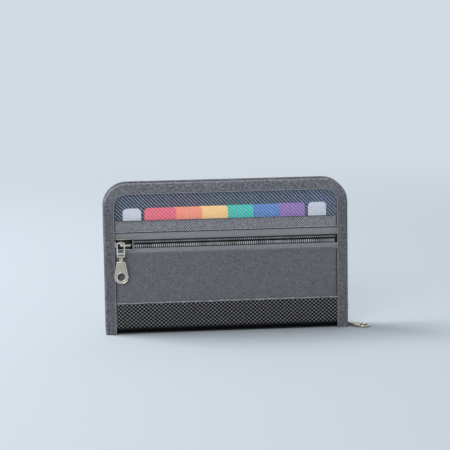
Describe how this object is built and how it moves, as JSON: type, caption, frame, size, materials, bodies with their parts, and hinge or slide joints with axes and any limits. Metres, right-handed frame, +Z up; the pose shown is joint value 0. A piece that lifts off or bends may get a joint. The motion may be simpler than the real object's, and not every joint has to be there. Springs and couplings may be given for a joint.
{
  "type": "expanding file folder",
  "caption": "Pocket-size zip-round accordion file folder standing on its woven base, with a window over coloured index tabs and a zipped front pocket.",
  "frame": {"origin": "middle of the flat underside of the woven base", "axes": "+X along the zip pocket to the right, -Y is the front with the window, +Z up"},
  "size_m": [0.2021, 0.0211, 0.115],
  "materials": {
    "binding": "grey woven tape, folded over the edge",
    "cloth": "grey plain-weave polyester",
    "weave": "near-black webbing with grey raised crossings",
    "lining": "dark lining",
    "film": "clear film with pale diagonal lines",
    "tape": "pale grey zip tape",
    "coil": "grey nylon coil",
    "nickel": "satin warm nickel plating on zinc",
    "board": "stiffening board",
    "leaf": "translucent blue-grey film",
    "clear_tab": "milky clear plastic",
    "red": "coloured plastic",
    "orange": "coloured plastic",
    "yellow": "coloured plastic",
    "green": "coloured plastic",
    "blue": "coloured plastic",
    "purple": "coloured plastic"
  },
  "bodies": {
    "folder": {"front_binding": "binding", "window_film": "film", "window_band": "cloth", "pocket_panel": "cloth", "front_lining": "lining", "back_binding": "binding", "back_panel": "cloth", "back_lining": "lining", "woven_base": "weave", "spine_board": "board", "pocket_tape_upper": "tape", "pocket_tape_lower": "tape", "pocket_coil_upper": "coil", "pocket_coil_lower": "coil", "edge_tape_front": "tape", "edge_tape_back": "tape", "edge_coil_front": "coil", "edge_coil_back": "coil", "bellows_left": "leaf", "bellows_right": "leaf", "bellows_floor": "leaf", "divider_1": "leaf", "divider_2": "leaf", "divider_3": "leaf", "divider_4": "leaf", "divider_5": "leaf", "divider_6": "leaf", "divider_7": "leaf", "divider_8": "leaf", "clear_tab_left": "clear_tab", "red_tab": "red", "orange_tab": "orange", "yellow_tab": "yellow", "green_tab": "green", "blue_tab": "blue", "purple_tab": "purple", "clear_tab_right": "clear_tab"},
    "pocket_slider": {"pocket_slider": "nickel"},
    "pocket_link": {"pocket_link": "nickel"},
    "pocket_pull": {"pocket_pull": "nickel"},
    "edge_slider": {"edge_slider": "nickel"},
    "edge_link": {"edge_link": "nickel"},
    "edge_pull": {"edge_pull": "nickel"}
  },
  "joints": [
    {"name": "pocket_zip", "type": "slide", "parent": "folder", "child": "pocket_slider", "axis": [1, 0, 0], "range_m": [0, 0.154]},
    {"name": "pocket_link_swing", "type": "hinge", "parent": "pocket_slider", "child": "pocket_link", "pos_m": [-0.0801, -0.011, 0.0693], "axis": [0, -1, 0], "range_deg": [-35, 35]},
    {"name": "pocket_pull_flip", "type": "hinge", "parent": "pocket_link", "child": "pocket_pull", "pos_m": [-0.0801, -0.011, 0.0604], "axis": [-1, 0, 0], "range_deg": [-4, 140]},
    {"name": "edge_zip", "type": "slide", "parent": "folder", "child": "edge_slider", "axis": [0, 0, 1], "range_m": [0, 0.075]},
    {"name": "edge_link_flip", "type": "hinge", "parent": "edge_slider", "child": "edge_link", "pos_m": [0.09175, 0.00097, 0.0127], "axis": [-0.4226, -0.9063, 0], "range_deg": [0, 75]},
    {"name": "edge_pull_flip", "type": "hinge", "parent": "edge_link", "child": "edge_pull", "pos_m": [0.09175, 0.00097, 0.00235], "axis": [-0.4226, -0.9063, 0], "range_deg": [-58, 35]}
  ]
}
